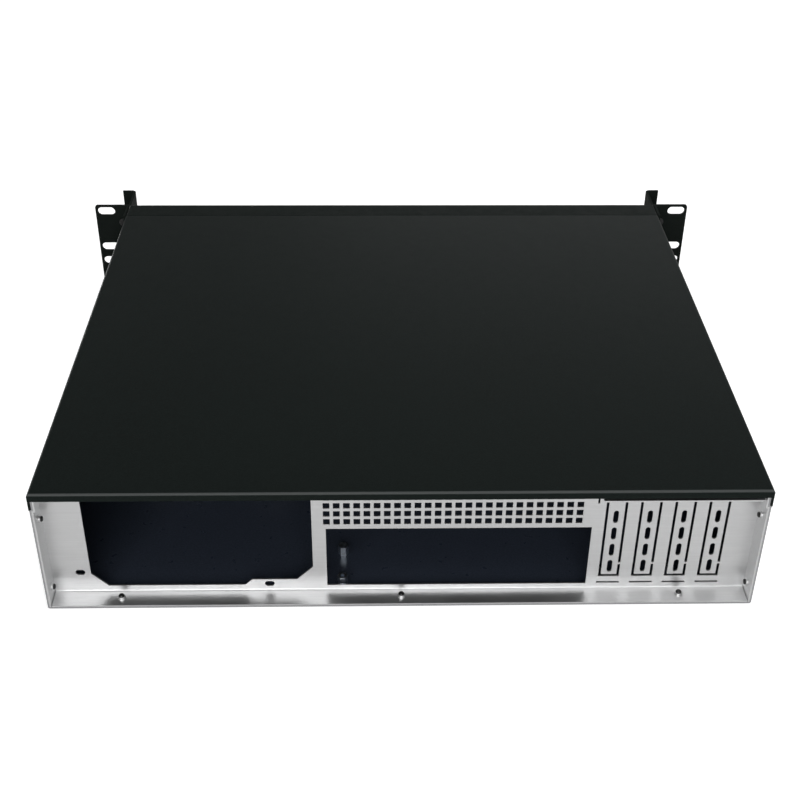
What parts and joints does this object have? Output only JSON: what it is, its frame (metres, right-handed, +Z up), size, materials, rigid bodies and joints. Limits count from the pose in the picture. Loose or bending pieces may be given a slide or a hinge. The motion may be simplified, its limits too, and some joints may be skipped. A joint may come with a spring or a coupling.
{
  "type": "rackmount server case",
  "caption": "Short rackmount server case with a lift-off cover, rack ears with handles, and a recessed rear panel with supply and connector openings, vents and expansion blanks.",
  "frame": {"origin": "bottom centre of the whole case, in the plane of its underside", "axes": "+X to the right seen from the front, +Y from the front to the rear, +Z up"},
  "size_m": [0.4826, 0.4212, 0.088],
  "materials": {
    "black_powder": "fine textured powder coat",
    "galvanised": "satin galvanised sheet",
    "nickel": "bright nickel",
    "zinc_screw": "bright zinc",
    "brass": "satin",
    "black_plastic": "fine texture",
    "grey_plastic": "matt",
    "circuit_board": "solder mask",
    "green_lens": "clear",
    "amber_lens": "clear"
  },
  "bodies": {
    "case": {"base_tray": "black_powder", "front_panel": "black_powder", "left_ear": "black_powder", "right_ear": "black_powder", "left_handle": "black_powder", "right_handle": "black_powder", "rear_panel": "galvanised", "psu_bracket": "galvanised", "cross_brace": "galvanised", "drive_cage": "galvanised", "motherboard_standoffs": "nickel", "large_bay_cover": "black_plastic", "small_bay_cover": "black_plastic", "control_board": "circuit_board", "control_switches": "grey_plastic", "usb_sockets": "zinc_screw", "usb_tongues": "grey_plastic", "board_spacers": "brass", "power_lamp": "green_lens", "drive_lamp": "amber_lens", "fan_left": "black_plastic", "fan_right": "black_plastic"},
    "cover": {"top_cover": "black_powder"},
    "left_rotor": {"fan_left_rotor": "black_plastic"},
    "right_rotor": {"fan_right_rotor": "black_plastic"},
    "power_cap": {"power_button": "black_plastic"},
    "reset_cap": {"reset_button": "black_plastic"}
  },
  "joints": [
    {"name": "cover_lift", "type": "slide", "parent": "case", "child": "cover", "axis": [0, 0, 1], "range_m": [0, 0.15]},
    {"name": "fan_left_spin", "type": "hinge", "parent": "case", "child": "left_rotor", "pos_m": [-0.16, -0.1566, 0.0435], "axis": [0, 1, 0], "continuous": true},
    {"name": "fan_right_spin", "type": "hinge", "parent": "case", "child": "right_rotor", "pos_m": [-0.07, -0.1566, 0.0435], "axis": [0, 1, 0], "continuous": true},
    {"name": "power_button_press", "type": "slide", "parent": "case", "child": "power_cap", "axis": [0, 1, 0], "range_m": [0, 0.0015], "stiffness_N_per_m": 300, "springref_m": -0.001},
    {"name": "reset_button_press", "type": "slide", "parent": "case", "child": "reset_cap", "axis": [0, 1, 0], "range_m": [0, 0.0015], "stiffness_N_per_m": 300, "springref_m": -0.001}
  ]
}
